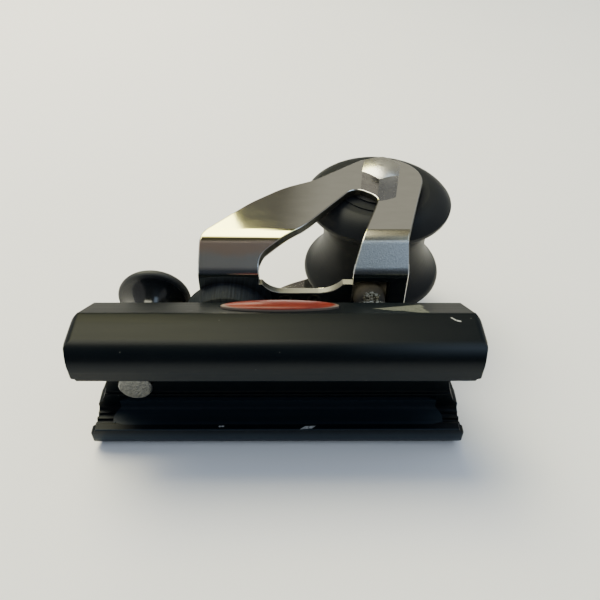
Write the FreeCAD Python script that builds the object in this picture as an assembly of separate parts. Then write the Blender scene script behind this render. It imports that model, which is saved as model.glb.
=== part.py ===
import FreeCAD, Part
import math
import os

# Genoa car for a 32 mm T-track, in millimetres.
# X runs along the track with the plunger stop at the -X end, Y is across, Z is up from the track side.
# The origin is the middle of the car's length and width, on the underside of its two jaws.

# Extruded body
body_half_length = 59.9
body_half_width = 22.5
jaw_corner_radius = 6.5
crease_height = 17.0
shoulder_half_width = 16.5
shoulder_height = 27.6
rib_half_width = 11.4
rib_height = 31.2
far_jaw_inset = 1.5
end_top_inset = 3.9
end_crease_inset = 2.0
end_low_inset = 1.8
end_bulge_drop = 2.2
end_bulge_radius = 5.0
end_belly_height = 8.0
end_belly_radius = 25.0
end_corner_radius = 2.6
far_corner_radius = 6.0
end_low_radius = 0.6
notch_depth = 3.0
notch_point_depth = 8.6
notch_half_width = 13.0
notch_flare = 0.8
notch_radius = 28.0
jaw_end_radius = 1.5

# T-slot
throat_half_width = 12.0
lip_thickness = 3.0
slot_half_width = 16.4
slot_ceiling = 11.9
groove_half_width = 9.5
groove_depth = 1.0
flute_radius = 0.7
flute_heights = (6.9, 9.1)

# Low-friction liners pressed into milled pockets in the slot
liner_end_inset = 6.9
liner_wall = 1.35
liner_proud = 0.35
liner_pocket_low = 2.2
liner_pocket_depth = 1.1

# Tilting head: fore-and-aft pivot rod, two posts and a rubber ring
pivot_height = 22.6
pivot_radius = 4.0
pivot_rod_left = -32.0
pivot_rod_inset = 6.6
pivot_clearance = 0.05
rod_bore_clearance = 0.02
bush_wall = 1.0
eye_wall = 1.4
post_half_length = 6.0
post_neck_radius = 5.4
post_end_clearance = 0.3
pocket_half_width = 8.4
pocket_floor_gap = 0.4
spigot_radius = 4.0
rivet_radius = 5.6
rivet_height = 1.8
rear_post_x = -17.1
front_post_x = 31.2
ring_radius = 14.8
ring_bore_clearance = 0.2
set_screw_radius = 2.5
set_screw_sink = 0.4
set_screw_spots = (2.0, 12.0)

# Folded sheet frame that carries the sheave
plate = 2.5
frame_base_height = 38.5
cheek_outer = 25.1
fold_low_half_width = 18.7
fold_low_radius = 0.8
fold_high = 50.3
fold_high_radius = 9.5
frame_edge_radius = 0.5
frame_left = -25.9
frame_right = 41.6
window_strip_half_width = 9.9
head_top = 96.6
head_radius = 13.2

# Sheave and axle
axle_x = 36.3
axle_z = 82.9
axle_radius = 4.0
sleeve_wall = 2.0
sheave_bush_wall = 4.0
sheave_radius = 26.9
sheave_waist_radius = 19.7
sheave_rim_plane = 16.8
sheave_face_radius = 18.5
sheave_hub_radius = 15.5
sheave_hub_step = 0.4
sheave_side_gap = 0.65
thrust_washer_lap = 1.5
thrust_washer_thickness = 0.45
bush_proud = 0.1
running_clearance = 0.05
bolt_flats = 13.0
bolt_head_height = 4.6
bolt_crown_radius = 20.0
nut_height = 6.4
nut_collar_height = 1.6
nut_washer_lap = 1.5
nut_washer_thickness = 1.6
bolt_end_past_nut = 1.6

# Plunger stop
plunger_inset = 16.6
pin_radius = 5.1
pin_end_height = 6.9
pin_shoulder_height = 19.0
stem_radius = 3.0
pin_lift_past_roof = 0.3
housing_wall = 1.8
chamber_floor = 16.5
housing_bore_clearance = 0.6
housing_bottom = 20.5
housing_flats_lap = 1.0
housing_flange = 2.5
knob_hub_radius = 6.0
knob_radius = 12.5
knob_rim_low = 45.1
knob_rim_high = 47.4
knob_top = 49.3
knob_pin_radius = 1.25
knob_pin_height = 38.2
spring_wire_radius = 0.5
spring_turns = 4.0
spring_spare_height = 1.3

# Oval domed badges on the two shoulders
badge_x = 0.7
badge_half_length = 17.8
badge_half_height = 4.6
badge_edge = 0.5
badge_dome = 1.4

# Sizes that follow from the ones above
liner_half_length = body_half_length - liner_end_inset
pivot_rod_right = body_half_length - pivot_rod_inset
plunger_x = plunger_inset - body_half_length
eye_radius = pivot_radius + bush_wall + eye_wall
sleeve_radius = axle_radius + sleeve_wall
sheave_bush_radius = sleeve_radius + sheave_bush_wall
thrust_washer_radius = sheave_bush_radius + thrust_washer_lap
nut_washer_radius = bolt_flats / 2 + nut_washer_lap
housing_bore_radius = pin_radius + housing_bore_clearance
chamber_radius = housing_bore_radius + housing_wall
housing_flats = 2 * (chamber_radius + housing_flats_lap)
inner_cheek = cheek_outer - plate

# How far a cutting solid runs past what it cuts
past = 5.0


def vec(x, y, z):
    return FreeCAD.Vector(x, y, z)


def in_yz(x):
    """Place outline points (y, z) in the plane at x."""
    return lambda u, v: vec(x, u, v)


def in_xz(y):
    """Place outline points (x, z) in the plane at y."""
    return lambda u, v: vec(u, y, v)


def in_xy(z):
    """Place outline points (x, y) in the plane at z."""
    return lambda u, v: vec(u, v, z)


def rounded_face(corners, place):
    """Face inside a polygon whose corners (u, v, radius) are rounded by tangent arcs."""
    count = len(corners)
    stretches = []
    for index in range(count):
        u, v, radius = corners[index]
        before = corners[index - 1]
        after = corners[(index + 1) % count]
        a = FreeCAD.Vector(before[0] - u, before[1] - v, 0)
        b = FreeCAD.Vector(after[0] - u, after[1] - v, 0)
        a.normalize()
        b.normalize()
        half = a.getAngle(b) / 2
        if radius <= 0:
            stretches.append((place(u, v), None, place(u, v)))
            continue
        reach = radius / math.tan(half)
        bisector = a + b
        bisector.normalize()
        inward = radius / math.sin(half) - radius
        start = place(u + a.x * reach, v + a.y * reach)
        middle = place(u + bisector.x * inward, v + bisector.y * inward)
        end = place(u + b.x * reach, v + b.y * reach)
        stretches.append((start, middle, end))
    edges = []
    for index in range(count):
        start, middle, end = stretches[index]
        if middle is not None:
            edges.append(Part.Arc(start, middle, end).toShape())
        following = stretches[(index + 1) % count][0]
        if end.distanceToPoint(following) > 1e-6:
            edges.append(Part.LineSegment(end, following).toShape())
    return Part.Face(Part.Wire(edges))


def mirrored(corners):
    """Corners on the +u side followed by the same ones on the -u side, in order round the outline."""
    return corners + [(-u, v, radius) for u, v, radius in reversed(corners)]


def cylinder_x(radius, x0, x1, y, z):
    return Part.makeCylinder(radius, x1 - x0, vec(x0, y, z), vec(1, 0, 0))


def cylinder_y(radius, y0, y1, x, z):
    return Part.makeCylinder(radius, y1 - y0, vec(x, y0, z), vec(0, 1, 0))


def cylinder_z(radius, z0, z1, x, y):
    return Part.makeCylinder(radius, z1 - z0, vec(x, y, z0), vec(0, 0, 1))


def hexagon(flats, height, turn):
    """Hexagonal prism on the XY plane with its corners turned by an angle in degrees."""
    reach = flats / 2 / math.cos(math.radians(30))
    corners = []
    for index in range(6):
        angle = math.radians(60 * index + turn)
        corners.append((reach * math.cos(angle), reach * math.sin(angle), 0))
    return rounded_face(corners, in_xy(0)).extrude(vec(0, 0, height))


def turned(points, base, axis):
    """Solid of revolution from a closed list of edges."""
    return Part.Face(Part.Wire(points)).revolve(base, axis, 360)


def body_section():
    """Outline across the body: rounded jaws, leaning shoulders, a central rib and the T-slot."""
    jaw_corner = min(jaw_corner_radius, body_half_width - throat_half_width - 1.0)
    side = [
        (rib_half_width, rib_height, 1.0),
        (rib_half_width, shoulder_height, 1.5),
        (shoulder_half_width, shoulder_height, 1.0),
        (body_half_width, crease_height, 1.2),
        (body_half_width, 0, jaw_corner),
        (throat_half_width, 0, 0.4),
        (throat_half_width, lip_thickness, 0.5),
        (slot_half_width, lip_thickness, 0.8),
        (slot_half_width, slot_ceiling, 1.5),
        (groove_half_width, slot_ceiling, 0.4),
        (groove_half_width, slot_ceiling + groove_depth, 0.5),
    ]
    return mirrored(side)


def body_ends():
    """Solid that gives the bar its plan outline, notched in a long curve between the jaws, and the bulged
    side outline of its ends."""
    notch_edge = body_half_length - notch_depth
    notch_point = body_half_length - notch_point_depth
    jaw_inside = notch_half_width + notch_flare
    far_end = body_half_length - far_jaw_inset
    far_corner = min(far_corner_radius, body_half_width - jaw_inside - jaw_end_radius - 0.2)
    corner = [
        (far_end, body_half_width, far_corner),
        (far_end, jaw_inside, jaw_end_radius),
        (notch_edge, notch_half_width, 0),
        (notch_point, 0, notch_radius),
        (notch_edge, -notch_half_width, 0),
        (body_half_length, -jaw_inside, jaw_end_radius),
        (body_half_length, -body_half_width, end_corner_radius),
    ]
    plan = rounded_face(mirrored(corner), in_xy(-past)).extrude(vec(0, 0, rib_height + 2 * past))
    profile = [
        (body_half_length - end_top_inset, rib_height, 1.0),
        (body_half_length - end_crease_inset, crease_height + 0.4, 3.0),
        (body_half_length, crease_height - end_bulge_drop, end_bulge_radius),
        (body_half_length, end_belly_height, end_belly_radius),
        (body_half_length - end_low_inset, 0, end_low_radius),
    ]
    depth = 2 * (body_half_width + past)
    side = rounded_face(mirrored(profile), in_xz(-depth / 2)).extrude(vec(0, depth, 0))
    return plan.common(side)


def liner_pocket(side, inner, top, low, half_length, reach):
    """Long rounded pocket, cut sideways into the slot on one side of the car."""
    radius = (top - low) / 2 - 0.01
    corners = mirrored([(half_length, top, radius), (half_length, low, radius)])
    face = rounded_face(corners, in_xz(side * inner))
    return face.extrude(vec(0, side * (reach - inner), 0))


def liner_cut(side):
    """The milled pocket itself: the slot's wall, ceiling edge and lip are cut back together."""
    return liner_pocket(side, groove_half_width + 0.6, slot_ceiling + liner_pocket_depth,
                        liner_pocket_low, liner_half_length, slot_half_width + liner_pocket_depth)


def slide_liner(side):
    """Channel-shaped liner that fills the pocket and stands slightly proud of the slot's walls."""
    throat_side = throat_half_width + 0.4
    outer = liner_pocket(side, throat_side, slot_ceiling + liner_pocket_depth,
                         liner_pocket_low, liner_half_length, slot_half_width + liner_pocket_depth)
    hollow_low = liner_pocket_low + liner_wall
    hollow_top = slot_ceiling + liner_pocket_depth - liner_wall
    hollow_wall = slot_half_width - liner_proud
    corners = [
        (side * (throat_side - past), hollow_low, 0),
        (side * (throat_side - past), hollow_top, 0),
        (side * hollow_wall, hollow_top, 1.0),
        (side * hollow_wall, hollow_low, 0.6),
    ]
    length = 2 * (liner_half_length + past)
    hollow = rounded_face(corners, in_yz(-length / 2)).extrude(vec(length, 0, 0))
    return outer.cut(hollow)


def post_pocket(x):
    """Pocket in the rib where a post swings across the car."""
    half = post_half_length + post_end_clearance
    corners = mirrored([(half, pocket_half_width, 1.0), (half, -pocket_half_width, 1.0)])
    floor = pivot_height - eye_radius - pocket_floor_gap
    pocket = rounded_face(corners, in_xy(floor)).extrude(vec(0, 0, rib_height + past - floor))
    pocket.translate(vec(x, 0, 0))
    return pocket


def car_body():
    """Black extruded and machined body that slides on the track."""
    length = 2 * (body_half_length + past)
    bar = rounded_face(body_section(), in_yz(-length / 2)).extrude(vec(length, 0, 0))
    body = bar.common(body_ends())
    for side in (-1, 1):
        for height in flute_heights:
            flute = cylinder_x(flute_radius, -length / 2, length / 2, side * slot_half_width, height)
            body = body.cut(flute)
        body = body.cut(liner_cut(side))
    for x in (rear_post_x, front_post_x):
        body = body.cut(post_pocket(x))
    bore_radius = pivot_radius + rod_bore_clearance
    body = body.cut(cylinder_x(bore_radius, pivot_rod_left, body_half_length + past, 0, pivot_height))
    for x in set_screw_spots:
        body = body.cut(cylinder_z(set_screw_radius, pivot_height, rib_height + past, x, 0))
    pin_hole = cylinder_z(pin_radius + running_clearance, 0, chamber_floor + 1, plunger_x, 0)
    chamber = cylinder_z(chamber_radius, chamber_floor, rib_height + past, plunger_x, 0)
    return body.cut(pin_hole).cut(chamber)


def pivot_rod():
    """Fore-and-aft rod, with a small chamfer at both ends."""
    rod = cylinder_x(pivot_radius, pivot_rod_left, pivot_rod_right, 0, pivot_height)
    rims = [edge for edge in rod.Edges if edge.BoundBox.XLength < 0.01]
    return rod.makeChamfer(0.5, rims)


def set_screws():
    """Two socket grub screws in the rib that hold the rod."""
    screws = []
    bottom = pivot_height + pivot_radius
    top = rib_height - set_screw_sink
    for x in set_screw_spots:
        screw = cylinder_z(set_screw_radius, bottom, top, x, 0)
        socket = hexagon(2.5, 2.5, 0)
        socket.translate(vec(x, 0, top - 2.0))
        screws.append(screw.cut(socket))
    return Part.makeCompound(screws)


def post(x):
    """Steel post: an eye round the pivot rod, a round neck and a peened spigot."""
    eye = cylinder_x(eye_radius, -post_half_length, post_half_length, 0, pivot_height)
    neck = cylinder_z(post_neck_radius, pivot_height, frame_base_height, 0, 0)
    plate_top = frame_base_height + plate
    spigot = cylinder_z(spigot_radius, frame_base_height - 1, plate_top, 0, 0)
    rivet = cylinder_z(rivet_radius, plate_top, plate_top + rivet_height, 0, 0)
    rim = [edge for edge in rivet.Edges if edge.BoundBox.ZMin > plate_top + rivet_height - 0.01]
    rivet = rivet.makeFillet(1.2, rim)
    solid = eye.fuse([neck, spigot, rivet]).removeSplitter()
    reach = post_half_length + past
    solid = solid.cut(cylinder_x(pivot_radius + bush_wall, -reach, reach, 0, pivot_height))
    solid.translate(vec(x, 0, 0))
    return solid


def pivot_bush(x):
    """Plain bush between a post's eye and the pivot rod."""
    ends = (x - post_half_length, x + post_half_length)
    outer = cylinder_x(pivot_radius + bush_wall, ends[0], ends[1], 0, pivot_height)
    return outer.cut(cylinder_x(pivot_radius + pivot_clearance, ends[0], ends[1], 0, pivot_height))


def rubber_ring():
    """Stand-up ring squeezed between the rib and the frame, round the rear post."""
    ring = cylinder_z(ring_radius, rib_height, frame_base_height, rear_post_x, 0)
    hole = cylinder_z(post_neck_radius + ring_bore_clearance, rib_height, frame_base_height, rear_post_x, 0)
    return ring.cut(hole)


def frame_folds():
    """Outside and inside corners (y, z, radius) of the folded channel, from one cheek round to the other."""
    low = frame_base_height
    rise = fold_high - low
    run = cheek_outer - fold_low_half_width
    half_low = math.atan2(rise, run) / 2
    half_high = math.atan2(run, rise) / 2
    top = head_top + past
    inner_low = fold_low_half_width - plate * math.tan(half_low)
    inner_high = fold_high + plate * math.tan(half_high)
    outside = [
        (cheek_outer, top, 0),
        (cheek_outer, fold_high, fold_high_radius + plate),
        (fold_low_half_width, low, fold_low_radius + plate),
        (-fold_low_half_width, low, fold_low_radius + plate),
        (-cheek_outer, fold_high, fold_high_radius + plate),
        (-cheek_outer, top, 0),
    ]
    inside = [
        (-inner_cheek, top, 0),
        (-inner_cheek, inner_high, fold_high_radius),
        (-inner_low, low + plate, fold_low_radius),
        (inner_low, low + plate, fold_low_radius),
        (inner_cheek, inner_high, fold_high_radius),
        (inner_cheek, top, 0),
    ]
    return outside, inside


def along_frame(corners):
    """Solid of an outline (y, z, radius) drawn out along the whole frame and past both its ends."""
    width = frame_right - frame_left + 8 * past
    return rounded_face(corners, in_yz(frame_left - 2 * past)).extrude(vec(width, 0, 0))


def outer_edges(sheet, block):
    """Edges of the sheet that lie on the outside of the solid block its channel is folded round."""
    found = []
    for edge in sheet.Edges:
        middle = edge.valueAt((edge.FirstParameter + edge.LastParameter) / 2)
        on_skin = block.Shells[0].distToShape(Part.Vertex(middle))[0] < 0.001
        along_x = edge.BoundBox.YLength < 0.001 and edge.BoundBox.ZLength < 0.001
        if on_skin and not along_x:
            found.append(edge)
    return found


def frame_outline():
    """Side outline of both cheeks: a leaning rear edge, a round head and a straighter front edge."""
    depth = 2 * (cheek_outer + past)
    corners = [
        (frame_left, frame_base_height - past, 0),
        (frame_left, 51.1, 9.0),
        (-10.2, 68.1, 40.0),
        (1.3, 77.2, 35.0),
        (12.2, 82.0, 25.0),
        (31.5, head_top, head_radius),
        (55.9, head_top, head_radius),
        (42.6, 49.3, 20.0),
        (frame_right, frame_base_height - past, 0),
    ]
    return rounded_face(corners, in_xz(-depth / 2)).extrude(vec(0, depth, 0))


def frame_window(side):
    """Long three-cornered window that runs from a cheek, round the folds, into the base."""
    corners = [
        (-6.4, frame_base_height - past, 0),
        (-6.2, 44.2, 6.0),
        (8.0, 54.5, 20.0),
        (26.5, 77.4, 4.6),
        (34.9, 71.4, 4.2),
        (24.4, 41.0, 8.0),
        (22.9, frame_base_height - past, 0),
    ]
    inner = window_strip_half_width + 4.0
    depth = side * (cheek_outer + past - inner)
    high = rounded_face(corners, in_xz(side * inner)).extrude(vec(0, depth, 0))
    outer = fold_low_half_width + 4.0
    low = [
        (-6.4, side * outer, 0),
        (-6.4, side * window_strip_half_width, 8.0),
        (22.9, side * window_strip_half_width, 10.0),
        (22.9, side * outer, 0),
    ]
    floor = rounded_face(low, in_xy(frame_base_height - past)).extrude(vec(0, 0, past + plate + 0.6))
    keep = Part.makeBox(60, 2 * inner, 3 * past, vec(-20, -inner, frame_base_height - past))
    inner_floor = floor.common(keep)
    return high.fuse(inner_floor)


def head_frame():
    """One-piece folded stainless frame with two windowed cheeks."""
    outside, inside = frame_folds()
    sheet = along_frame(outside + inside).common(frame_outline())
    for side in (-1, 1):
        sheet = sheet.cut(frame_window(side))
    sheet = sheet.makeFillet(frame_edge_radius, outer_edges(sheet, along_frame(outside)))
    for x in (rear_post_x, front_post_x):
        hole = cylinder_z(spigot_radius, frame_base_height - past, frame_base_height + past, x, 0)
        sheet = sheet.cut(hole)
    hole = cylinder_y(axle_radius, -cheek_outer - past, cheek_outer + past, axle_x, axle_z)
    return sheet.cut(hole)


def sheave():
    """Hourglass sheave with rounded rims, bored for its bush."""
    face = inner_cheek - sheave_side_gap
    low_face = face - sheave_hub_step
    rim = sheave_rim_plane
    lip_plane = rim - 2.3
    lip_radius = sheave_radius - 0.8

    def at(radius, y):
        return vec(axle_x + radius, y, axle_z)

    rounding = (sheave_radius - 3.7, (face + rim) / 2 + 0.6)
    crown = (sheave_radius - 0.15, rim - 1.2)
    edges = [
        Part.LineSegment(at(sheave_bush_radius, -face), at(sheave_bush_radius, face)).toShape(),
        Part.LineSegment(at(sheave_bush_radius, face), at(sheave_hub_radius, face)).toShape(),
        Part.LineSegment(at(sheave_hub_radius, face), at(sheave_hub_radius, low_face)).toShape(),
        Part.LineSegment(at(sheave_hub_radius, low_face), at(sheave_face_radius, low_face)).toShape(),
        Part.Arc(at(sheave_face_radius, low_face), at(*rounding), at(sheave_radius, rim)).toShape(),
        Part.Arc(at(sheave_radius, rim), at(*crown), at(lip_radius, lip_plane)).toShape(),
        Part.Arc(at(lip_radius, lip_plane), at(sheave_waist_radius, 0), at(lip_radius, -lip_plane)).toShape(),
        Part.Arc(at(lip_radius, -lip_plane), at(crown[0], -crown[1]), at(sheave_radius, -rim)).toShape(),
        Part.Arc(at(sheave_radius, -rim), at(rounding[0], -rounding[1]),
                 at(sheave_face_radius, -low_face)).toShape(),
        Part.LineSegment(at(sheave_face_radius, -low_face), at(sheave_hub_radius, -low_face)).toShape(),
        Part.LineSegment(at(sheave_hub_radius, -low_face), at(sheave_hub_radius, -face)).toShape(),
        Part.LineSegment(at(sheave_hub_radius, -face), at(sheave_bush_radius, -face)).toShape(),
    ]
    return turned(edges, vec(axle_x, 0, axle_z), vec(0, 1, 0))


def tube_y(outer, inner, y0, y1):
    """Tube round the axle between two planes across the car."""
    return cylinder_y(outer, y0, y1, axle_x, axle_z).cut(cylinder_y(inner, y0, y1, axle_x, axle_z))


def on_axle(solid, y, direction):
    """Turn a solid standing on the XY plane to stand on the plane at y, along the axle."""
    solid.Placement = FreeCAD.Placement(vec(axle_x, y, axle_z),
                                        FreeCAD.Rotation(vec(0, 0, 1), vec(0, direction, 0)))
    return solid


def domed_hex(flats, height, crown_radius):
    """Hexagonal head on the XY plane whose top is a shallow dome that leaves its corners at a height."""
    reach = flats / 2 / math.cos(math.radians(30))
    centre = height - math.sqrt(crown_radius ** 2 - reach ** 2)
    ball = Part.makeSphere(crown_radius, vec(0, 0, centre))
    return hexagon(flats, centre + crown_radius + 1, 18.6).common(ball)


def chamfered_hex(flats, height):
    """Hexagonal nut body on the XY plane with the corners of its top chamfered."""
    reach = flats / 2 / math.cos(math.radians(30))
    drop = (reach - flats / 2) * math.tan(math.radians(30)) + 0.25
    cone = Part.makeCone(reach + 0.2, flats / 2 - 0.25, drop, vec(0, 0, height - drop), vec(0, 0, 1))
    barrel = Part.makeCylinder(reach + 0.2, height - drop).fuse(cone)
    return hexagon(flats, height, 18.6).common(barrel)


def axle_bolt():
    """Bolt with a domed hex head through both cheeks, head on the -Y side."""
    head = on_axle(domed_hex(bolt_flats, bolt_head_height, bolt_crown_radius), -cheek_outer, -1)
    tip = cheek_outer + nut_washer_thickness + nut_height + nut_collar_height + bolt_end_past_nut
    shank = cylinder_y(axle_radius, -cheek_outer - 1, tip, axle_x, axle_z)
    end = [edge for edge in shank.Edges if edge.BoundBox.YMin > tip - 0.01]
    return head.fuse(shank.makeChamfer(0.8, end))


def lock_nut():
    """Hex lock nut with a plain round collar."""
    start = cheek_outer + nut_washer_thickness
    nut = on_axle(chamfered_hex(bolt_flats, nut_height), start, 1)
    top = start + nut_height + nut_collar_height
    collar = cylinder_y(bolt_flats / 2 - 0.5, start + 1, top, axle_x, axle_z)
    edge = [part for part in collar.Edges if part.BoundBox.YMin > top - 0.01]
    collar = collar.makeFillet(0.8, edge)
    return nut.fuse(collar).cut(cylinder_y(axle_radius, start - 1, top + 1, axle_x, axle_z))


def plunger_pin():
    """Stainless pin with a thinner stem that runs up through the housing into the knob."""
    pin = cylinder_z(pin_radius, pin_end_height, pin_shoulder_height, plunger_x, 0)
    tip = [edge for edge in pin.Edges if edge.BoundBox.ZMax < pin_end_height + 0.01]
    pin = pin.makeChamfer(0.5, tip)
    stem = cylinder_z(stem_radius, pin_shoulder_height - 1, knob_rim_low - 0.6, plunger_x, 0)
    return pin.fuse(stem).cut(knob_pin_hole())


def knob_pin_hole():
    reach = knob_hub_radius + past
    return cylinder_x(knob_pin_radius, plunger_x - reach, plunger_x + reach, 0, knob_pin_height)


def knob_pin():
    reach = knob_hub_radius - 0.6
    return cylinder_x(knob_pin_radius, plunger_x - reach, plunger_x + reach, 0, knob_pin_height)


def housing_roof():
    """Underside of the housing's roof: pin shoulder, full lift and the closed spring fit below it."""
    lift = slot_ceiling + groove_depth + pin_lift_past_roof - pin_end_height
    closed_spring = 2 * spring_wire_radius * spring_turns
    return pin_shoulder_height + lift + closed_spring + spring_spare_height


def plunger_housing():
    """Bonnet screwed into the rib that guides the stem and backs the spring."""
    barrel = cylinder_z(chamber_radius, housing_bottom, rib_height, plunger_x, 0)
    flange = hexagon(housing_flats, housing_flange, 0)
    flange.translate(vec(plunger_x, 0, rib_height))
    bore = cylinder_z(housing_bore_radius, housing_bottom - 1, housing_roof(), plunger_x, 0)
    guide = cylinder_z(stem_radius + running_clearance, housing_roof() - 1, rib_height + past, plunger_x, 0)
    return barrel.fuse(flange).cut(bore).cut(guide)


def plunger_spring():
    """Compression spring between the pin's shoulder and the roof of the housing."""
    coil_radius = (stem_radius + pin_radius) / 2
    low = pin_shoulder_height + spring_wire_radius + 0.05
    high = housing_roof() - spring_wire_radius - 0.05
    helix = Part.makeHelix((high - low) / spring_turns, high - low, coil_radius)
    circle = Part.makeCircle(spring_wire_radius, vec(coil_radius, 0, 0), vec(0, 1, 0))
    coil = Part.Wire(helix.Edges).makePipeShell([Part.Wire(circle)], True, True)
    coil.translate(vec(plunger_x, 0, low))
    return coil


def plunger_knob():
    """Mushroom pull knob: a round hub that flares out to a domed head."""
    base = rib_height + housing_flange

    def at(radius, z):
        return vec(plunger_x + radius, 0, z)

    bore = stem_radius
    roof = knob_rim_low - 0.6
    dome_edge = knob_radius - 0.4
    dome_rise = knob_top - knob_rim_high
    dome_radius = (dome_edge ** 2 + dome_rise ** 2) / (2 * dome_rise)
    half_sweep = math.asin(dome_edge / dome_radius) / 2
    dome_middle = at(dome_radius * math.sin(half_sweep), knob_top - dome_radius * (1 - math.cos(half_sweep)))
    edges = [
        Part.LineSegment(at(bore, base), at(knob_hub_radius, base)).toShape(),
        Part.LineSegment(at(knob_hub_radius, base), at(knob_hub_radius, base + 3)).toShape(),
        Part.Arc(at(knob_hub_radius, base + 3), at(7.8, 42.0), at(knob_radius - 0.5, knob_rim_low)).toShape(),
        Part.Arc(at(knob_radius - 0.5, knob_rim_low), at(knob_radius, (knob_rim_low + knob_rim_high) / 2),
                 at(dome_edge, knob_rim_high)).toShape(),
        Part.Arc(at(dome_edge, knob_rim_high), dome_middle, at(0, knob_top)).toShape(),
        Part.LineSegment(at(0, knob_top), at(0, roof)).toShape(),
        Part.LineSegment(at(0, roof), at(bore, roof)).toShape(),
        Part.LineSegment(at(bore, roof), at(bore, base)).toShape(),
    ]
    return turned(edges, vec(plunger_x, 0, 0), vec(0, 0, 1)).cut(knob_pin_hole())


def badge(side):
    """Oval domed badge lying on one leaning shoulder."""
    run = body_half_width - shoulder_half_width
    rise = shoulder_height - crease_height
    lean = math.degrees(math.atan2(run, rise))
    ellipse = Part.Ellipse(vec(0, 0, 0), badge_half_length, badge_half_height).toShape()
    slab = Part.Face(Part.Wire([ellipse])).extrude(vec(0, 0, badge_edge))
    ball = Part.makeSphere(1.0)
    matrix = FreeCAD.Matrix()
    matrix.scale(badge_half_length, badge_half_height, badge_dome)
    dome = ball.transformGeometry(matrix)
    upper = Part.makeBox(4 * badge_half_length, 4 * badge_half_height, past,
                         vec(-2 * badge_half_length, -2 * badge_half_height, 0))
    dome = dome.common(upper)
    dome.translate(vec(0, 0, badge_edge))
    shape = slab.fuse(dome)
    shape.rotate(vec(0, 0, 0), vec(1, 0, 0), -side * (90 - lean))
    middle_y = (body_half_width + shoulder_half_width) / 2
    middle_z = (shoulder_height + crease_height) / 2
    shape.translate(vec(badge_x, side * middle_y, middle_z))
    return shape


def build_all():
    bush_face = inner_cheek - sheave_side_gap + bush_proud
    washer_start = inner_cheek - thrust_washer_thickness
    washer_bore = sleeve_radius + 2 * running_clearance
    nut_face = cheek_outer + nut_washer_thickness
    return {
        "car_body": car_body(),
        "slide_liner_near": slide_liner(-1),
        "slide_liner_far": slide_liner(1),
        "pivot_rod": pivot_rod(),
        "rod_set_screws": set_screws(),
        "rear_post": post(rear_post_x),
        "front_post": post(front_post_x),
        "rear_pivot_bush": pivot_bush(rear_post_x),
        "front_pivot_bush": pivot_bush(front_post_x),
        "stand_up_ring": rubber_ring(),
        "head_frame": head_frame(),
        "sheave": sheave(),
        "sheave_bush": tube_y(sheave_bush_radius, sleeve_radius + running_clearance, -bush_face, bush_face),
        "axle_sleeve": tube_y(sleeve_radius, axle_radius, -inner_cheek, inner_cheek),
        "axle_bolt": axle_bolt(),
        "thrust_washer_near": tube_y(thrust_washer_radius, washer_bore, -inner_cheek, -washer_start),
        "thrust_washer_far": tube_y(thrust_washer_radius, washer_bore, washer_start, inner_cheek),
        "nut_washer": tube_y(nut_washer_radius, axle_radius, cheek_outer, nut_face),
        "lock_nut": lock_nut(),
        "plunger_pin": plunger_pin(),
        "plunger_spring": plunger_spring(),
        "plunger_housing": plunger_housing(),
        "plunger_knob": plunger_knob(),
        "knob_pin": knob_pin(),
        "badge_near": badge(-1),
        "badge_far": badge(1),
    }


os.makedirs("parts", exist_ok=True)
for name, shape in build_all().items():
    shape.exportStep("parts/" + name + ".step")
    print(name, len(shape.Solids), round(shape.Volume, 1), shape.isValid())
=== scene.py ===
import math

import bmesh
import bpy
import numpy as np
from mathutils import Matrix, Vector


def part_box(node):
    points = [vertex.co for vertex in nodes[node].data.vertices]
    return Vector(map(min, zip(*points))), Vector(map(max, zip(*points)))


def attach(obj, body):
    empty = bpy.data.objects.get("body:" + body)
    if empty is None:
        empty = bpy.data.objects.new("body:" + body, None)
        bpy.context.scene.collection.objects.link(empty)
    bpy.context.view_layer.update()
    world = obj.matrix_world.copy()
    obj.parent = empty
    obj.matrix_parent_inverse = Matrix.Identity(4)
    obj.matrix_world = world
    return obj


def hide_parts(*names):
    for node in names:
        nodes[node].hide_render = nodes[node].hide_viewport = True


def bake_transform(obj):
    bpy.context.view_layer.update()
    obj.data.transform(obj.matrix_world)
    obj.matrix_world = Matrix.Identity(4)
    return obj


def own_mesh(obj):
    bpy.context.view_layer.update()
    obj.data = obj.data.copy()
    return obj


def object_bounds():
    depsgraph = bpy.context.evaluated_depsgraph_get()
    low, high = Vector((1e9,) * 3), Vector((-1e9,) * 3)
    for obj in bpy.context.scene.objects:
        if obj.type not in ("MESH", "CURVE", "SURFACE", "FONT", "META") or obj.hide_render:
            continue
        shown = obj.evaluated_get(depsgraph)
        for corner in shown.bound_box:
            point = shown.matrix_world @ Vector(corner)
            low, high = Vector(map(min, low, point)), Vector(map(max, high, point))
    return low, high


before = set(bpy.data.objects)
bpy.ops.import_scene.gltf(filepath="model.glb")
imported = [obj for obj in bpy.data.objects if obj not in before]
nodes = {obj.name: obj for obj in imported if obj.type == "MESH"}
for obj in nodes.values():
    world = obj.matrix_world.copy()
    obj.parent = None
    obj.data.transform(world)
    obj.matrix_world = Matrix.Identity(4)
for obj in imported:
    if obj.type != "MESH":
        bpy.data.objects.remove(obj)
cad_low, cad_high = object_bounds()

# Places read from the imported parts, in metres
_, body_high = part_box("car_body")
ring_low, ring_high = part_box("stand_up_ring")
sheave_low, sheave_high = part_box("sheave")
frame_low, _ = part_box("head_frame")
_, knob_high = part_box("plunger_knob")
badge_low, badge_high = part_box("badge_near")
post_low, post_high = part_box("front_post")
spring_low, spring_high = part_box("plunger_spring")
axle = (sheave_low + sheave_high) / 2
ring_centre = (ring_low + ring_high) / 2
ring_radius = (ring_high.x - ring_low.x) / 2
post_x = (post_low.x + post_high.x) / 2
spring_centre = (spring_low + spring_high) / 2


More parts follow.
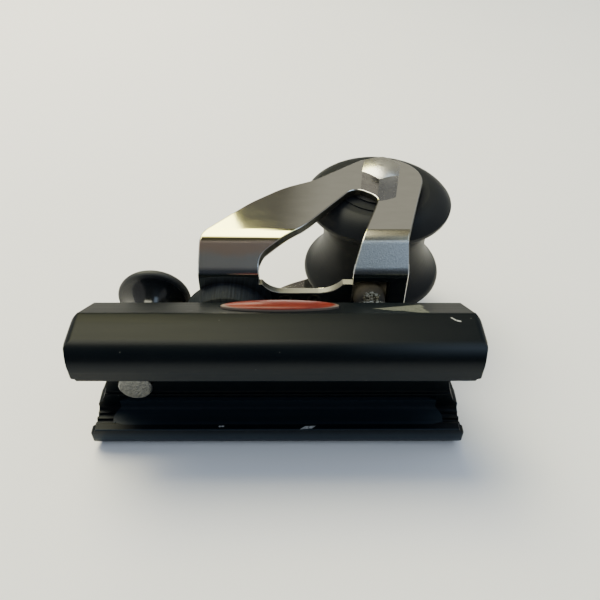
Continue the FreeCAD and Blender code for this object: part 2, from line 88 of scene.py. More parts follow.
class Signal:
    """A number, colour or vector that varies over a surface. Arithmetic on it adds Math nodes."""

    def __init__(self, graph, socket):
        self.graph = graph
        self.socket = socket

    def _math(self, operation, first, second=0.0):
        return self.graph.node("ShaderNodeMath", {"operation": operation}, {0: first, 1: second})

    def __add__(self, other):
        return self._math("ADD", self, other)

    def __sub__(self, other):
        return self._math("SUBTRACT", self, other)

    def __rsub__(self, other):
        return self._math("SUBTRACT", other, self)

    def __mul__(self, other):
        return self._math("MULTIPLY", self, other)

    def __truediv__(self, other):
        return self._math("DIVIDE", self, other)

    def __pow__(self, other):
        return self._math("POWER", self, other)

    def __gt__(self, other):
        return self._math("GREATER_THAN", self, other)

    def __lt__(self, other):
        return self._math("LESS_THAN", self, other)

    def __abs__(self):
        return self._math("ABSOLUTE", self)

    __radd__ = __add__
    __rmul__ = __mul__

    def sine(self):
        return self._math("SINE", self)

    def arctangent(self, other):
        return self._math("ARCTAN2", self, other)

    def most(self, other):
        return self._math("MAXIMUM", self, other)

    def least(self, other):
        return self._math("MINIMUM", self, other)

    def eased_least(self, other, reach):
        """The lesser of two values, rounded off where they are less than reach apart."""
        return self.graph.node("ShaderNodeMath", {"operation": "SMOOTH_MIN"}, {0: self, 1: other, 2: reach})


class Graph:
    """The nodes of one finish, or of the surroundings."""

    def __init__(self, tree, place):
        self.tree = tree
        self.place = self.node("ShaderNodeTexCoord", output=place)
        self.x, self.y, self.z = (
            self.node("ShaderNodeSeparateXYZ", inputs={0: self.place}, output=axis) for axis in "XYZ"
        )

    def node(self, kind, settings=None, inputs=None, output=0):
        """Adds one node. Its settings come first, then a value or a link for each named socket."""
        node = self.tree.nodes.new(kind)
        for key, value in (settings or {}).items():
            if key == "stops":
                self._stops(node.color_ramp, value)
            else:
                setattr(node, key, value)
        for key, value in (inputs or {}).items():
            socket = node.inputs[key]
            if isinstance(value, Signal):
                self.tree.links.new(value.socket, socket)
            elif socket.type == "RGBA":
                socket.default_value = (*value, 1.0)
            else:
                socket.default_value = value
        return Signal(self, node.outputs[output])

    @staticmethod
    def _stops(ramp, stops):
        while len(ramp.elements) < len(stops):
            ramp.elements.new(0.5)
        for element, (place, colour) in zip(ramp.elements, stops):
            element.position = place
            element.color = (*colour, 1.0)

    def between(self, value, low, high):
        """0 where value is under low, 1 where it is over high, and a smooth step from one to the other."""
        return self.node("ShaderNodeMapRange", {"interpolation_type": "SMOOTHSTEP"},
                         {"Value": value, "From Min": low, "From Max": high})

    def band(self, value, low, high, soft):
        """1 where value lies from low to high, with a smooth step of width 2 soft at both ends."""
        above = self.between(value, low - soft, low + soft)
        return above * (1 - self.between(value, high - soft, high + soft))

    def mix(self, factor, first, second):
        """A colour between two colours."""
        return self.node("ShaderNodeMix", {"data_type": "RGBA"}, {0: factor, 6: first, 7: second}, 2)

    def vector(self, operation, first, second, output="Vector"):
        return self.node("ShaderNodeVectorMath", {"operation": operation}, {0: first, 1: second}, output)

    def noise(self, scale, detail=3.0, stretch=(1, 1, 1)):
        """Cloudy noise; a stretch under 1 draws it out along that axis."""
        place = self.vector("MULTIPLY", self.place, stretch)
        return self.node("ShaderNodeTexNoise", {}, {"Vector": place, "Scale": scale, "Detail": detail})

    def cells(self, scale):
        """Distance to the nearest of scattered points."""
        return self.node("ShaderNodeTexVoronoi", {}, {"Vector": self.place, "Scale": scale}, "Distance")


class Finish(Graph):
    """A procedural finish: one shader, its fixed sockets, and the nodes that vary the others."""

    def __init__(self, name, **fixed):
        self.material = bpy.data.materials.new(name)
        self.material.use_nodes = True
        super().__init__(self.material.node_tree, "Object")
        self.shader = self.tree.nodes["Principled BSDF"]
        for socket, value in fixed.items():
            self.shader.inputs[socket.replace("_", " ")].default_value = value

    def feed(self, **sockets):
        """Links varying values to the shader's own sockets."""
        for socket, value in sockets.items():
            self.tree.links.new(value.socket, self.shader.inputs[socket.replace("_", " ")])
        return self

    def bump(self, height, depth, strength=1.0):
        """A normal tilted by a height map; depth is in metres for a height of 1."""
        return self.node("ShaderNodeBump", {}, {"Strength": strength, "Distance": depth, "Height": height},
                         "Normal")

    def near_line(self, start, end, width, soft):
        """1 along a straight mark from start to end, falling to 0 over soft metres beside it."""
        start, end = Vector(start), Vector(end)
        length = (end - start).length
        along = tuple((end - start).normalized())
        offset = self.vector("SUBTRACT", self.place, tuple(start))
        way = self.vector("DOT_PRODUCT", offset, along, "Value")
        foot = self.node("ShaderNodeVectorMath", {"operation": "SCALE"}, {0: along, "Scale": way})
        side = self.vector("DISTANCE", offset, foot, "Value")
        return self.band(way, 0, length, soft) * (1 - self.between(side, width, width + soft))


def anodised_black():
    """Satin black anodising: fine lines along the extrusion, bare metal where it is rubbed or knocked, a
    painted grey-blue reflection under both jaws with a painted highlight along the far lip's edge, a painted
    bluish reflection low on the near face's front end, and a slight crown along its top."""
    finish = Finish("anodised_black", Specular_IOR_Level=0.10)
    lines = finish.noise(900, 2.0, (0.03, 1, 1))
    cloud = finish.noise(60, 4.0)
    marks = finish.noise(1500, 4.0)
    specks = (finish.cells(170) < 0.045) * (finish.noise(45, 1.0) > 0.60)
    hairs = finish.between(finish.noise(700, 1.0, (0.25, 0.25, 1)), 0.70, 0.74)
    hairs = hairs * finish.between(cloud, 0.45, 0.6)
    patch = rubbed_wedge(finish, marks)
    scratch = end_scratch(finish)
    chip = lip_chips(finish) * finish.between(marks, 0.25, 0.5)
    knock = scratch.most(chip)
    bare = (specks * 0.25).most(patch).most(knock)
    black = finish.mix(cloud, (0.0006, 0.0019, 0.0036), (0.0018, 0.0034, 0.0048))
    outer = finish.y < -0.0150
    # Painted light in the base colour: grey-blue under both jaws and bluish low on the near face's front end
    # are painted reflections, and the lighter line on the far lip's edge is a painted highlight.
    near_under_painted_reflection = (1 - finish.between(finish.z, 0, 0.0013)) * (finish.y < -0.0110)
    far_under_painted_reflection = (finish.z < 0.0004) * finish.between(finish.y, 0.0122, 0.0158)
    arris_painted_highlight = (finish.z < 0.0005) * finish.band(finish.y, 0.0112, 0.0122, 0.0001)
    painted_bluish_reflection = finish.band(finish.z, 0.0026, 0.0048, 0.0014) * finish.between(finish.x, 0.012, 0.056)
    dust_and_painted_reflection = finish.mix(near_under_painted_reflection, black, (0.009, 0.0115, 0.0135))
    dust_and_painted_reflection = finish.mix(painted_bluish_reflection * outer, dust_and_painted_reflection, (0.012, 0.017, 0.024))
    dust_and_painted_reflection = finish.mix(far_under_painted_reflection.most(arris_painted_highlight * 0.8), dust_and_painted_reflection, (0.014, 0.021, 0.028))
    bared = finish.mix(marks, (0.035, 0.038, 0.029), (0.13, 0.135, 0.11))
    bared = finish.mix(knock, bared, (0.34, 0.34, 0.32))
    crown_low, crown_reach, crown_bend = 0.0122, 0.0048, -14
    crown = (finish.z - crown_low).most(0).least(crown_reach) ** 2 * crown_bend
    texture = (lines * 0.5 + marks * 0.2 + hairs * 0.4 + bare * marks * 1.2) * 0.00003
    finish.feed(
        Base_Color=finish.mix(bare, dust_and_painted_reflection, bared),
        Roughness=(0.33 + lines * 0.10 + cloud * 0.04 + bare * 0.2 - hairs * 0.05).least(1.0),
        Normal=finish.bump(texture + crown, 1.0),
    )
    return finish


def rubbed_wedge(finish, marks):
    """Rubbed wedge on the near shoulder: from a point at its rear end it widens at two slopes to a slanting
    front edge, and its outline is ragged."""
    ragged = finish.noise(420, 4.0) * 0.0022 - 0.0011
    along, height = finish.x + ragged * 1.5, finish.z + ragged + marks * 0.0006
    tip, tip_low, tip_high, tail_x, tail_z, soft = 0.02897, 0.0213, 0.0218, 0.0432, 0.0251, 0.0003
    near = finish.y < -0.0150
    top = finish.between(tip_high + (along - tip) * 0.2725 - height, 0, soft)
    low = finish.between(height - tip_low + (along - tip) * 0.268, 0, soft)
    tail = 1 - finish.between(along + (tail_z - finish.z) * -0.12, tail_x, tail_x + 0.0005)
    return near * top * low * tail * finish.between(marks, 0.15, 0.45)


def end_scratch(finish):
    """Short bright nick near the front end of the near jaw, with four fainter specks."""
    first = finish.near_line((0.05045, -0.0225, 0.01523), (0.05186, -0.0225, 0.01403), 0.00008, 0.00025)
    second = finish.near_line((0.05186, -0.0225, 0.01403), (0.05317, -0.0225, 0.01363), 0.00014, 0.00025)
    speck = finish.near_line((0.05618, -0.0225, 0.01491), (0.05628, -0.0225, 0.01485), 0.00010, 0.00020)
    left = finish.near_line((-0.0432, -0.02138, 0.00286), (-0.0431, -0.02138, 0.00280), 0.00010, 0.00020)
    middle = finish.near_line((0.00088, -0.02135, 0.00282), (0.00096, -0.02135, 0.00282), 0.00008, 0.00020)
    low = finish.near_line((-0.00575, -0.01715, 0.00011), (-0.00565, -0.01715, 0.00011), 0.00008, 0.00020)
    return first.most(second).most(speck * 0.7).most(left * 0.6).most(middle * 0.5).most(low * 0.5)


def lip_chips(finish):
    """Two knocks in the face of the far lip, the larger a slanting flake."""
    x, z = finish.x, finish.z
    face = finish.band(finish.y, 0.0115, 0.0126, 0.0001)
    flake = (finish.between(z - 0.00018 + (x - 0.00641) * -0.10, 0, 0.0002)
             * finish.between(0.00162 + (x - 0.00842) * 0.045 - z, 0, 0.0002)
             * finish.between(x - 0.00641 - (z - 0.00018) * 1.40, 0, 0.0003)
             * finish.between(0.01064 + (z - 0.00061) * 1.30 - x, 0, 0.0003))
    tick = finish.near_line((-0.01847, 0.0120, 0.00145), (-0.01673, 0.0120, 0.00155), 0.00015, 0.0002)
    return (face * flake).most(tick)


def slide_plastic():
    """Dark low-friction plastic, dust-coated and faintly polished along the track."""
    finish = Finish("slide_plastic", Specular_IOR_Level=0.16)
    lines = finish.noise(500, 2.0, (0.05, 1, 1))
    finish.feed(
        Base_Color=finish.mix(lines, (0.005, 0.010, 0.015), (0.010, 0.016, 0.022)),
        Roughness=0.34 + lines * 0.2,
        Normal=finish.bump(lines, 0.00005, 0.4),
    )
    return finish


def polished_sheet():
    """Polished stainless sheet: waved by the folding, dulled on the rear corners, blasted on the front ones,
    and dull with fine lines across its sawn edges, whose darkness on the cheeks is painted shade. Also
    painted into its colour: a cream highlight on the rear folds, a tan reflection on the front folds, a
    brown reflection on the rear corners near their folds, and a bluish reflection on the blasted front
    corners. A cheek's outer skin leans out from the base and then stands upright; how far a point lies
    inside it tells the sawn edges from the polished faces."""
    finish = Finish("polished_sheet", Metallic=1.0)
    waves = finish.noise(38, 2.0, (1, 1, 0.6))
    grain = finish.noise(2400, 2.0)
    haze = finish.noise(140, 5.0, (1, 1, 3))
    smears = finish.noise(70, 4.0, (1.6, 1, 0.5))
    hairs = finish.noise(900, 2.0, (0.6, 1, 0.08))
    leaning = 1 - finish.between(finish.z, 0.0480, 0.0490)
    corner = finish.between(abs(finish.y), 0.0172, 0.0184) * leaning
    ahead = finish.between(finish.x, 0.0190, 0.0200)
    blasted = corner * ahead
    dulled = corner * (1 - ahead)
    front_fold = finish.band(finish.z, 0.0484, 0.0530, 0.0008) * ahead
    rear_fold = finish.band(finish.z, 0.0486, 0.0532, 0.0006) * (1 - ahead)
    pale = finish.mix(haze, (0.58, 0.565, 0.525), (0.66, 0.645, 0.605))
    # Painted highlight and reflection: the cream-yellow on the rear folds and the tan on the front folds
    # stand in for light reflected there.
    straw_painted_highlight = finish.mix(rear_fold, pale, (0.71, 0.66, 0.30))
    tinted = finish.mix(front_fold * 0.8, straw_painted_highlight, (0.42, 0.385, 0.27))
    # Painted reflection: the grain of the blasted front corners is real, but their bluish tint stands in for
    # a bluish reflection.
    cooler = finish.mix(blasted, tinted, finish.mix(grain, (0.20, 0.225, 0.25), (0.54, 0.58, 0.62)))
    # Painted reflection: brown on the dulled rear corners near their folds stands in for a brown reflection.
    brown = finish.mix(finish.between(smears * 0.006 + finish.z, 0.0458, 0.0494),
                       (0.56, 0.59, 0.62), (0.66, 0.54, 0.48))
    base_half, base_height, lean, cheek_half, fold_reach = 0.0187, 0.0385, 0.5424, 0.0251, 0.0023
    skin = (base_half + (finish.z - base_height) * lean).eased_least(cheek_half, fold_reach)
    cheek_edge = finish.band(skin - abs(finish.y), 0.00010, 0.00228, 0.00006) * (finish.z > 0.0415)
    floor_edge = finish.band(finish.z, 0.0387, 0.0409, 0.0001) * (abs(finish.y) < 0.0165)
    sawn = cheek_edge.most(floor_edge)
    saw_lines = finish.noise(2600, 2.0, (1, 0.04, 1))
    # Painted shade: the saw lines are real, but the dark colour of the cheeks' sawn edges stands in for
    # shade.
    sawn_colour_and_painted_shade = finish.mix(floor_edge, finish.mix(saw_lines, (0.035, 0.038, 0.030), (0.14, 0.14, 0.12)),
                             finish.mix(saw_lines, (0.16, 0.155, 0.125), (0.24, 0.235, 0.20)))
    dullness = (blasted * 0.26 + dulled * 0.17 + front_fold * 0.10) * (1 - sawn) + sawn * 0.40
    sparkle = grain * (blasted * 0.24 + dulled * 0.07 + front_fold * 0.02)
    finish.feed(
        Base_Color=finish.mix(sawn, finish.mix(dulled, cooler, brown), sawn_colour_and_painted_shade),
        Roughness=0.035 + haze * 0.030 + dullness,
        Normal=finish.bump(waves * 0.35 + hairs * 0.010 + sparkle, 0.0006, 0.35),
    )
    return finish


def dull_steel():
    """Brownish steel left dull by the heat of its weld."""
    finish = Finish("dull_steel", Metallic=0.4)
    cloud = finish.noise(500, 4.0)
    finish.feed(
        Base_Color=finish.mix(cloud, (0.09, 0.085, 0.075), (0.22, 0.205, 0.18)),
        Roughness=0.36 + cloud * 0.12,
        Normal=finish.bump(cloud, 0.00006, 0.5),
    )
    return finish


def dark_screw():
    """Black oxide on the grub screws."""
    finish = Finish("dark_screw", Specular_IOR_Level=0.3)
    cloud = finish.noise(900, 3.0)
    finish.feed(
        Base_Color=finish.mix(cloud, (0.004, 0.004, 0.004), (0.012, 0.012, 0.012)),
        Roughness=0.45 + cloud * 0.1,
        Normal=finish.bump(cloud, 0.00004, 0.4),
    )
    return finish


def machined_steel():
    """Satin stainless for the bolt, nut, washer, sleeve, rod, spring and knob pin."""
    finish = Finish("machined_steel", Metallic=1.0)
    grain = finish.noise(1500, 3.0)
    cloud = finish.noise(220, 4.0)
    finish.feed(
        Base_Color=finish.mix(cloud, (0.44, 0.425, 0.39), (0.60, 0.585, 0.55)),
        Roughness=0.20 + cloud * 0.16,
        Normal=finish.bump(grain + cloud * 0.8, 0.00006, 0.5),
    )
    return finish


def stippled_steel():
    """Sheared and pecked end of the stop pin, smoother on its flank."""
    finish = Finish("stippled_steel", Metallic=1.0)
    pecks = finish.cells(1300)
    end = 1 - finish.between(finish.z, 0.0074, 0.0079)
    cloud = finish.noise(600, 4.0)
    finish.feed(
        Base_Color=finish.mix(cloud, (0.082, 0.086, 0.087), (0.21, 0.215, 0.213)),
        Roughness=0.24 + end * 0.22,
        Normal=finish.bump(pecks * end * 0.6 + cloud * 0.3, 0.0004, 0.6),
    )
    return finish


def turned_black():
    """Satin black sheave plastic with faint turning rings about the axle."""
    finish = Finish("turned_black", Specular_IOR_Level=0.10)
    radius = ((finish.x - axle.x) ** 2 + (finish.z - axle.z) ** 2) ** 0.5
    ring_angle_per_metre = 9000
    rings = (radius * ring_angle_per_metre).sine() * 0.5 + 0.5
    cloud = finish.noise(130, 4.0)
    finish.feed(
        Base_Color=finish.mix(cloud, (0.0074, 0.0084, 0.0096), (0.0118, 0.0128, 0.0140)),
        Roughness=0.36 + cloud * 0.12,
        Normal=finish.bump(rings * 0.4 + cloud * 0.6, 0.00003, 0.5),
    )
    return finish


def moulded_knob():
    """Glossy black knob with a dulled, scuffed rim."""
    finish = Finish("moulded_knob", Specular_IOR_Level=0.40)
    rim = finish.between(finish.z, knob_high.z - 0.0050, knob_high.z - 0.0040)
    scuffs = finish.noise(420, 4.0, (1, 1, 0.4))
    finish.feed(
        Base_Color=finish.mix(rim * (0.5 + scuffs * 0.5), (0.0045, 0.0055, 0.0065), (0.024, 0.025, 0.025)),
        Roughness=0.13 + rim * 0.36 + scuffs * 0.08,
        Normal=finish.bump(scuffs, 0.00006, 0.3),
    )
    return finish


def ribbed_rubber():
    """Dark blue-grey rubber with uneven up-and-down streaks of dust; its bottom face is a plain darker
    colour, painted shade.
    """
    finish = Finish("ribbed_rubber", Specular_IOR_Level=0.2)
    turn = (finish.y - ring_centre.y).arctangent(finish.x - ring_centre.x)
    place = finish.node("ShaderNodeCombineXYZ", {}, {0: turn * 22, 1: finish.z * 60})
    streaks = finish.node("ShaderNodeTexNoise", {}, {"Vector": place, "Scale": 1.0, "Detail": 5.0})
    fine = finish.noise(1800, 2.0)
    outside = finish.band(finish.z, ring_low.z + 0.0004, ring_high.z + 0.001, 0.0003)
    dust = finish.between(streaks, 0.34, 0.68)
    dust_and_painted_reflection = finish.mix(dust, (0.0026, 0.0044, 0.0066), (0.0095, 0.0130, 0.0175))
    finish.feed(
        # Painted shade: below the outside band the ring's bottom face gets a plain darker colour.
        Base_Color=finish.mix(outside, (0.0035, 0.005, 0.006), dust_and_painted_reflection),
        Roughness=0.60 + fine * 0.2,
        Normal=finish.bump(fine * 0.5 + streaks * 0.6, 0.00015, 0.5),
    )
    return finish


def domed_badge():
    """Clear-domed orange-red badge; the tan ring at its edge is a painted highlight of the dome's rim. Its
    face is blank.
    """
    finish = Finish("domed_badge", Coat_Weight=0.04, Coat_Roughness=0.12, Specular_IOR_Level=0.2)
    middle = (badge_low + badge_high) / 2
    half = (badge_high - badge_low) / 2
    across = (finish.x - middle.x) / half.x
    up = (finish.z - middle.z) / half.z
    reach = (across ** 2 + up ** 2) ** 0.5
    # Painted highlight: the tan ring at the edge stands in for light on the dome's rim.
    edge = finish.between(reach, 0.90, 0.97)
    fade = finish.noise(260, 4.0)
    face = finish.mix(finish.between(fade, 0.3, 0.7), (0.088, 0.006, 0.002), (0.135, 0.013, 0.005))
    finish.feed(
        Base_Color=finish.mix(edge, face, (0.14, 0.105, 0.08)),
        Roughness=0.30 + fade * 0.1,
        Normal=finish.bump(fade, 0.00005, 0.3),
    )
    return finish


def plain_bush():
    """Smooth dark bearing plastic."""
    finish = Finish("plain_bush", Specular_IOR_Level=0.4)
    cloud = finish.noise(300, 3.0)
    finish.feed(
        Base_Color=finish.mix(cloud, (0.012, 0.012, 0.012), (0.025, 0.025, 0.024)),
        Roughness=0.38 + cloud * 0.12,
        Normal=finish.bump(cloud, 0.00005, 0.3),
    )
    return finish


def weld_steel():
    """Heat-tinted weld spatter whose bright, near-white specks are painted glints."""
    finish = Finish("weld_steel", Metallic=0.55)
    tint = finish.noise(1400, 3.0)
    # The near-white stops of this ramp are painted glints.
    colour = finish.node("ShaderNodeValToRGB", {"stops": [
        (0.38, (0.12, 0.11, 0.08)), (0.50, (0.70, 0.67, 0.48)), (0.60, (1.0, 0.98, 0.86))]}, {"Fac": tint})
    finish.feed(Base_Color=colour, Roughness=0.08 + tint * 0.1, Normal=finish.bump(tint, 0.0012, 0.8))
    return finish


def stage_finish(name, dim, light):
    """Pale matt board that shows from its front only, so that no view is blocked from behind."""
    finish = Finish(name, Roughness=0.9, Specular_IOR_Level=0.1)
    finish.feed(Base_Color=finish.mix(finish.noise(3.0, 3.0), dim, light))
    clear = finish.node("ShaderNodeBsdfTransparent")
    front = Signal(finish, finish.shader.outputs[0])
    back = finish.node("ShaderNodeNewGeometry", output="Backfacing")
    seen = finish.node("ShaderNodeMixShader", {}, {0: back, 1: front, 2: clear})
    finish.tree.links.new(seen.socket, finish.tree.nodes["Material Output"].inputs["Surface"])
    return finish


def surface(name, grid, finish, closed_u=False, closed_v=False):
    """Mesh over a grid of points (rows, columns, 3); closed ways join their last line to the first, and rows
    that shrink to a point are welded into a pole."""
    rows, columns = grid.shape[:2]
    r = np.arange(rows if closed_u else rows - 1)
    c = np.arange(columns if closed_v else columns - 1)
    r, c = np.meshgrid(r, c, indexing="ij")
    r1, c1 = (r + 1) % rows, (c + 1) % columns
    corners = (r * columns + c, r * columns + c1, r1 * columns + c1, r1 * columns + c)
    mesh = bpy.data.meshes.new(name)
    mesh.from_pydata(grid.reshape(-1, 3).tolist(), [], np.stack(corners, -1).reshape(-1, 4).tolist())
    shell = bmesh.new()
    shell.from_mesh(mesh)
    bmesh.ops.remove_doubles(shell, verts=shell.verts, dist=1e-7)
    bmesh.ops.recalc_face_normals(shell, faces=shell.faces)
    shell.to_mesh(mesh)
    shell.free()
    mesh.shade_smooth()
    mesh.materials.append(finish.material)
    piece = bpy.data.objects.new(name, mesh)
    bpy.context.scene.collection.objects.link(piece)
    return piece


def ribbed_ring(finish):
    """Rubber ring: a rectangle with small round corners turned about the post, its outside swollen a little
    at half height and pushed in by uneven ribs, each a sum of three sines of the angle."""
    count, depth, corner = 90, 0.00010, 0.0003
    inner, outer = 0.0058, ring_radius
    low, high = ring_low.z, ring_high.z
    turn = np.linspace(0, 2 * np.pi, 8 * count, endpoint=False)
    quarter = np.linspace(0, np.pi / 2, 5)
    side = np.linspace(low + corner, high - corner, 10)[1:-1]
    radius = np.concatenate([
        [inner, inner], outer - corner + corner * np.sin(quarter), np.full(side.shape, outer),
        outer - corner + corner * np.cos(quarter)])
    height = np.concatenate([
        [high, low], low + corner - corner * np.cos(quarter), side,
        high - corner + corner * np.sin(quarter)])
    outside = np.clip((radius - outer + corner) / corner, 0, 1)
    swell = 0.0003 * (1 - np.sin(np.pi * np.clip((height - low) / (high - low), 0, 1))) * outside
    ribs = (0.5 * np.sin(count * turn) + 0.3 * np.sin(37 * turn + 1) + 0.2 * np.sin(61 * turn + 2) - 1) / 2
    reach = radius[None, :] - swell[None, :] + depth * ribs[:, None] * outside[None, :]
    grid = np.stack([
        ring_centre.x + reach * np.cos(turn)[:, None],
        ring_centre.y + reach * np.sin(turn)[:, None],
        np.broadcast_to(height[None, :], reach.shape)], -1)
    return surface("stand_up_ring_ribbed", grid, finish, closed_u=True, closed_v=True)


def weld_bead(finish):
    """Thin bead round the front post's neck under the frame: a small circle carried round the post, its
    radius rippled along the way."""
    neck, size, ripples = 0.0050, 0.0014, 24
    turn = np.linspace(0, 2 * np.pi, 180, endpoint=False)
    around = np.linspace(0, 2 * np.pi, 16, endpoint=False)
    ripple = size * (1 + 0.2 * np.abs(np.sin(ripples * turn / 2)) + 0.1 * np.sin(5 * turn + 1))
    reach = neck + ripple[:, None] * np.cos(around)[None, :]
    height = np.minimum(frame_low.z + ripple[:, None] * np.sin(around)[None, :], frame_low.z + 0.0001)
    grid = np.stack([
        post_x + reach * np.cos(turn)[:, None], reach * np.sin(turn)[:, None], height], -1)
    return surface("front_post_weld", grid, finish, closed_u=True, closed_v=True)


def weld_spatter(finish):
    """Lumpy drop of weld on the near side of the front post, under the frame: a sphere whose radius swells
    and shrinks with products of sines of its two angles."""
    size, widened, flattened = 0.0021, 1.25, 0.7
    centre = (post_x - 0.0003, -0.0062, frame_low.z - size)
    tilt = np.linspace(0, np.pi, 60)[:, None]
    turn = np.linspace(0, 2 * np.pi, 96, endpoint=False)[None, :]
    lumps = 0.16 * np.sin(3 * tilt) * np.sin(4 * turn + 1) + 0.12 * np.sin(7 * tilt) * np.cos(9 * turn + 2)
    reach = size * (1 + lumps * np.sin(tilt))
    grid = np.stack([
        centre[0] + widened * reach * np.sin(tilt) * np.cos(turn),
        centre[1] + flattened * reach * np.sin(tilt) * np.sin(turn),
        centre[2] + reach * np.cos(tilt) * np.ones_like(turn)], -1)
    return surface("front_post_spatter", grid, finish, closed_v=True)


def stop_spring(finish):
    """Coil spring of the stop: a small circle carried along a helix of four turns, its radius shrinking to
    nothing at both ends as a half circle does."""
    turns, wire = 4, 0.0005
    coil = (spring_high.x - spring_low.x) / 2 - wire
    climb = spring_high.z - spring_low.z - 2 * wire
    share = np.linspace(0, 1, 240)
    length = 2 * np.pi * turns * coil
    from_end = np.minimum(share, 1 - share) * length
    thick = wire * np.sqrt(1 - (1 - np.clip(from_end / wire, 0, 1)) ** 2)
    turn = 2 * np.pi * turns * share
    outward = np.stack([np.cos(turn), np.sin(turn), np.zeros_like(turn)], -1)
    onward = np.stack([-np.sin(turn) * length, np.cos(turn) * length, np.full(turn.shape, climb)], -1)
    sideways = np.cross(onward / np.linalg.norm(onward, axis=1)[:, None], outward)
    centre = np.stack([
        spring_centre.x + coil * np.cos(turn), spring_centre.y + coil * np.sin(turn),
        spring_low.z + wire + climb * share], -1)
    around = np.linspace(0, 2 * np.pi, 14, endpoint=False)[None, :, None]
    grid = centre[:, None, :] + thick[:, None, None] * (
        np.cos(around) * outward[:, None, :] + np.sin(around) * sideways[:, None, :])
    return surface("plunger_spring_coil", grid, finish, closed_v=True)


def board(name, centre, across, up, finish, mirrored):
    """Flat rectangle for the stage, spanned by two half-vectors from its centre."""
    centre, across, up = Vector(centre), Vector(across), Vector(up)
    corners = [centre - across - up, centre + across - up, centre + across + up, centre - across + up]
    mesh = bpy.data.meshes.new(name)
    mesh.from_pydata([tuple(corner) for corner in corners], [], [(0, 1, 2, 3)])
    mesh.materials.append(finish.material)
    piece = bpy.data.objects.new(name, mesh)
    bpy.context.scene.collection.objects.link(piece)
    piece.visible_diffuse = mirrored
    piece.visible_glossy = mirrored
    piece.visible_transmission = mirrored
    piece.visible_shadow = False
    return piece


def soft_light(name, place, target, size, power, colour):
    """Square area light at a place, turned to a target, that shows in no reflection."""
    data = bpy.data.lights.new(name, "AREA")
    data.size = size
    data.energy = power
    data.color = colour
    lamp = bpy.data.objects.new(name, data)
    bpy.context.scene.collection.objects.link(lamp)
    lamp.location = place
    lamp.rotation_euler = (Vector(target) - Vector(place)).to_track_quat("-Z", "Y").to_euler()
    lamp.visible_glossy = False
    return lamp


def room():
    """Soft studio round the car, as a colour for each direction: x is its sideways part, and turn its angle
    in degrees from the -Y side (0) up to overhead (90). Low down the room is dim, brown on the left and
    blue on the right with a blue window; above that is a warm lamp with a ragged top, a grey wall beyond
    it, and a pale wall on either side. Matt surfaces are lit evenly by a bluish sky, and the camera sees a
    plain backdrop."""
    world = bpy.data.worlds.new("room")
    bpy.context.scene.world = world
    world.use_nodes = True
    graph = Graph(world.node_tree, "Generated")
    dim_left, dim_right, window = (0.080, 0.074, 0.070), (0.185, 0.225, 0.275), (2.6, 3.4, 4.3)
    high_left, high_right, underneath = (0.125, 0.115, 0.105), (0.25, 0.245, 0.195), (0.030, 0.034, 0.040)
    wall_left, wall_right = (0.165, 0.158, 0.125), (0.47, 0.46, 0.385)
    side_left, side_right = (0.64, 0.63, 0.60), (0.50, 0.52, 0.54)
    lamp_low, lamp_high = (12.0, 11.8, 9.2), (14.0, 13.2, 4.4)
    sky, backdrop = (0.63, 0.745, 0.935), (1.45, 1.42, 1.36)
    x = graph.x
    turn = graph.z.arctangent(0 - graph.y) * (180 / math.pi)
    ripple = graph.noise(9.0, 3.0) - 0.5
    blue = graph.band(turn, -3, 24, 5) * graph.between(x, 0.20, 0.30)
    over = graph.mix(blue, graph.mix(graph.between(x, -0.05, 0.20), dim_left, dim_right), window)
    low = graph.mix(graph.between(0 - turn, 22, 50), over, underneath)
    high = graph.mix(blue, graph.mix(graph.between(x, 0.0, 0.12), high_left, high_right), window)
    tone = graph.mix(graph.between(turn, 20, 26), low, high)
    wall = graph.mix(graph.between(x + ripple * 0.05, -0.025, 0.055), wall_left, wall_right)
    tone = graph.mix(graph.between(turn, 48.5, 50), tone, wall)
    aside = graph.mix(x > 0, side_left, side_right)
    tone = graph.mix(graph.between(abs(x), 0.45, 0.60), tone, aside)
    top = (51.7 + (0 - 0.077 - x).most(0) * 100).least(53.7)
    edge = 0.07 - graph.between(turn, 42, 46) * 0.110
    lamp = graph.between(turn, 14, 22) * (1 - graph.between(turn - top + ripple * 3.0, -0.4, 0.4))
    lamp = lamp * graph.band(x, -0.55, edge, 0.025)
    tone = graph.mix(lamp, tone, graph.mix(graph.between(turn, 45, 49), lamp_low, lamp_high))
    scattered = graph.node("ShaderNodeLightPath", output="Is Diffuse Ray")
    tone = graph.mix(scattered, tone, sky)
    direct = graph.node("ShaderNodeLightPath", output="Is Camera Ray")
    seen = graph.mix(direct, tone, backdrop)
    graph.tree.links.new(seen.socket, graph.tree.nodes["Background"].inputs["Color"])


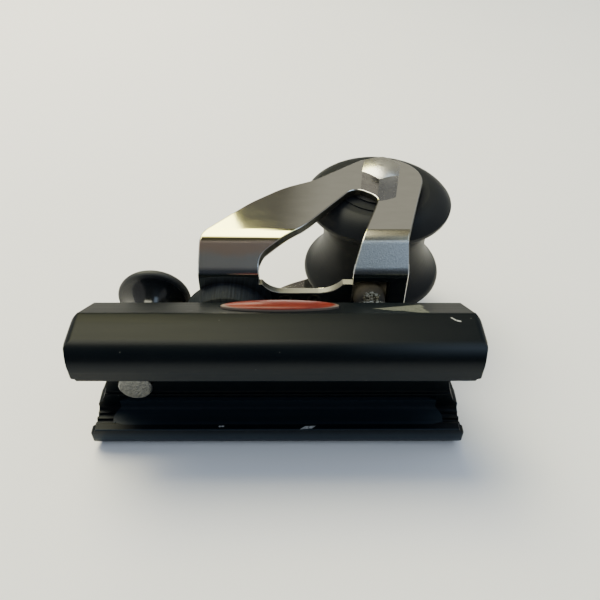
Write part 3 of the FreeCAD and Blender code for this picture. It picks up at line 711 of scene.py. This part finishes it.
def add_camera():
    """Camera fitted to the photograph: it stands below and in front of the car, looking up into the slot."""
    focal_pixels, picture_pixels, sensor = 639.8, 600, 36.0
    place = Vector((0.00433, -0.15529, -0.11386))
    elevation, yaw, roll = math.radians(44.25), math.radians(1.0), math.radians(0.75)
    flat = math.cos(elevation)
    forward = Vector((math.sin(yaw) * flat, math.sin(elevation), math.cos(yaw) * flat))
    level = Vector((math.cos(yaw), 0, -math.sin(yaw)))
    upright = level.cross(forward)
    right = level * math.cos(roll) + upright * math.sin(roll)
    up = upright * math.cos(roll) - level * math.sin(roll)
    data = bpy.data.cameras.new("camera")
    data.sensor_width = sensor
    data.lens = focal_pixels / picture_pixels * sensor
    data.clip_start = 0.005
    camera = bpy.data.objects.new("camera", data)
    bpy.context.scene.collection.objects.link(camera)
    camera.matrix_world = Matrix.Translation(place) @ Matrix((right, up, -forward)).transposed().to_4x4()
    bpy.context.scene.camera = camera
    return camera


def dress(finish, *names):
    """Gives a finish to CAD nodes."""
    for name in names:
        mesh = nodes[name].data
        mesh.materials.clear()
        mesh.materials.append(finish.material)


steel = machined_steel()
dress(anodised_black(), "car_body", "plunger_housing")
dress(slide_plastic(), "slide_liner_near", "slide_liner_far")
dress(polished_sheet(), "head_frame")
dress(steel, "axle_bolt", "lock_nut", "nut_washer", "axle_sleeve", "pivot_rod", "plunger_spring", "knob_pin")
dress(dull_steel(), "rear_post", "front_post")
dress(dark_screw(), "rod_set_screws")
dress(stippled_steel(), "plunger_pin")
dress(turned_black(), "sheave")
dress(moulded_knob(), "plunger_knob")
dress(domed_badge(), "badge_near", "badge_far")
bush = plain_bush()
dress(bush, "sheave_bush", "thrust_washer_near", "thrust_washer_far", "rear_pivot_bush", "front_pivot_bush")
rubber = ribbed_rubber()
dress(rubber, "stand_up_ring")

ring = ribbed_ring(rubber)
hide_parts("stand_up_ring")
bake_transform(ring)
weld = weld_steel()
for piece in (weld_bead(weld), weld_spatter(weld)):
    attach(piece, "head")
coil = stop_spring(steel)
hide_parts("plunger_spring")
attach(coil, "car")
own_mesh(coil)

# The table that the car lies against, and a floor for the views from above
reach = 3
table_touch = Vector((0, body_high.y, 0.010))
table_slope = Vector((0, cad_high.y - body_high.y, axle.z - table_touch.z)).normalized()
board("table", table_touch, (reach, 0, 0), table_slope * reach,
      stage_finish("table_top", (0.80, 0.785, 0.745), (0.84, 0.825, 0.785)), True)
board("floor", (0, 0, cad_low.z), (reach, 0, 0), (0, reach, 0),
      stage_finish("floor_top", (0.62, 0.62, 0.60), (0.66, 0.66, 0.64)), False)

warm_white = (1.0, 0.90, 0.66)
soft_light("window", (-0.30, -0.50, 0.40), (0, 0, 0.04), 0.50, 4.1, warm_white)
soft_light("far_window", (-0.40, -0.50, 1.0), (-0.40, 0.30, 1.0), 0.50, 8.6, warm_white)
room()
add_camera()
